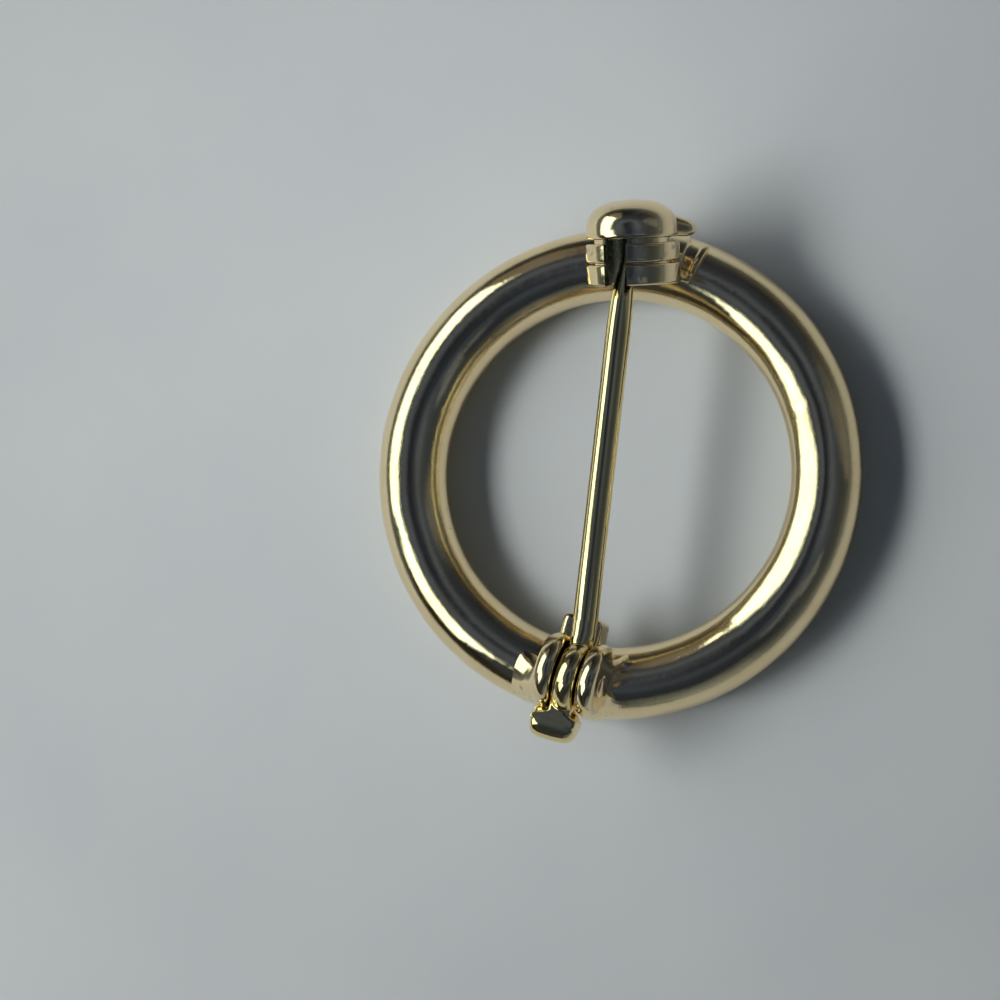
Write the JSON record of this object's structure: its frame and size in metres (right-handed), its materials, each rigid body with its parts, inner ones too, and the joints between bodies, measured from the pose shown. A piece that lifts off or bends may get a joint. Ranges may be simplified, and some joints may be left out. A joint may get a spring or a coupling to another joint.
{
  "type": "circle brooch",
  "caption": "Plain round-wire ring brooch with a riveted pin and a turning safety catch on its back.",
  "frame": {"origin": "under the middle of the outline, on the surface that the brooch's front lies on", "axes": "+Z away from the cloth through the back of the brooch; +Y from the hinge to the catch; +X to the right in the back view"},
  "size_m": [0.022, 0.0239, 0.0077],
  "materials": {
    "polished_gold": "mirror polished pale yellow gold with fine scratches, darker in the solder seams",
    "pin_gold": "polished pale yellow gold wire"
  },
  "bodies": {
    "frame": {"ring": "polished_gold", "hinge_rivet": "polished_gold"},
    "pin": {"pin_stem": "pin_gold"},
    "rotor": {"catch_rotor": "polished_gold"}
  },
  "joints": [
    {"name": "pin_swing", "type": "hinge", "parent": "frame", "child": "pin", "pos_m": [-0.00139, -0.00896, 0.005], "axis": [0.9613, -0.2756, 0], "range_deg": [0, 38]},
    {"name": "catch_turn", "type": "hinge", "parent": "frame", "child": "rotor", "pos_m": [0.00145, 0.00815, 0.00525], "axis": [0, -0.9816, -0.1908], "range_deg": [0, 130]}
  ]
}
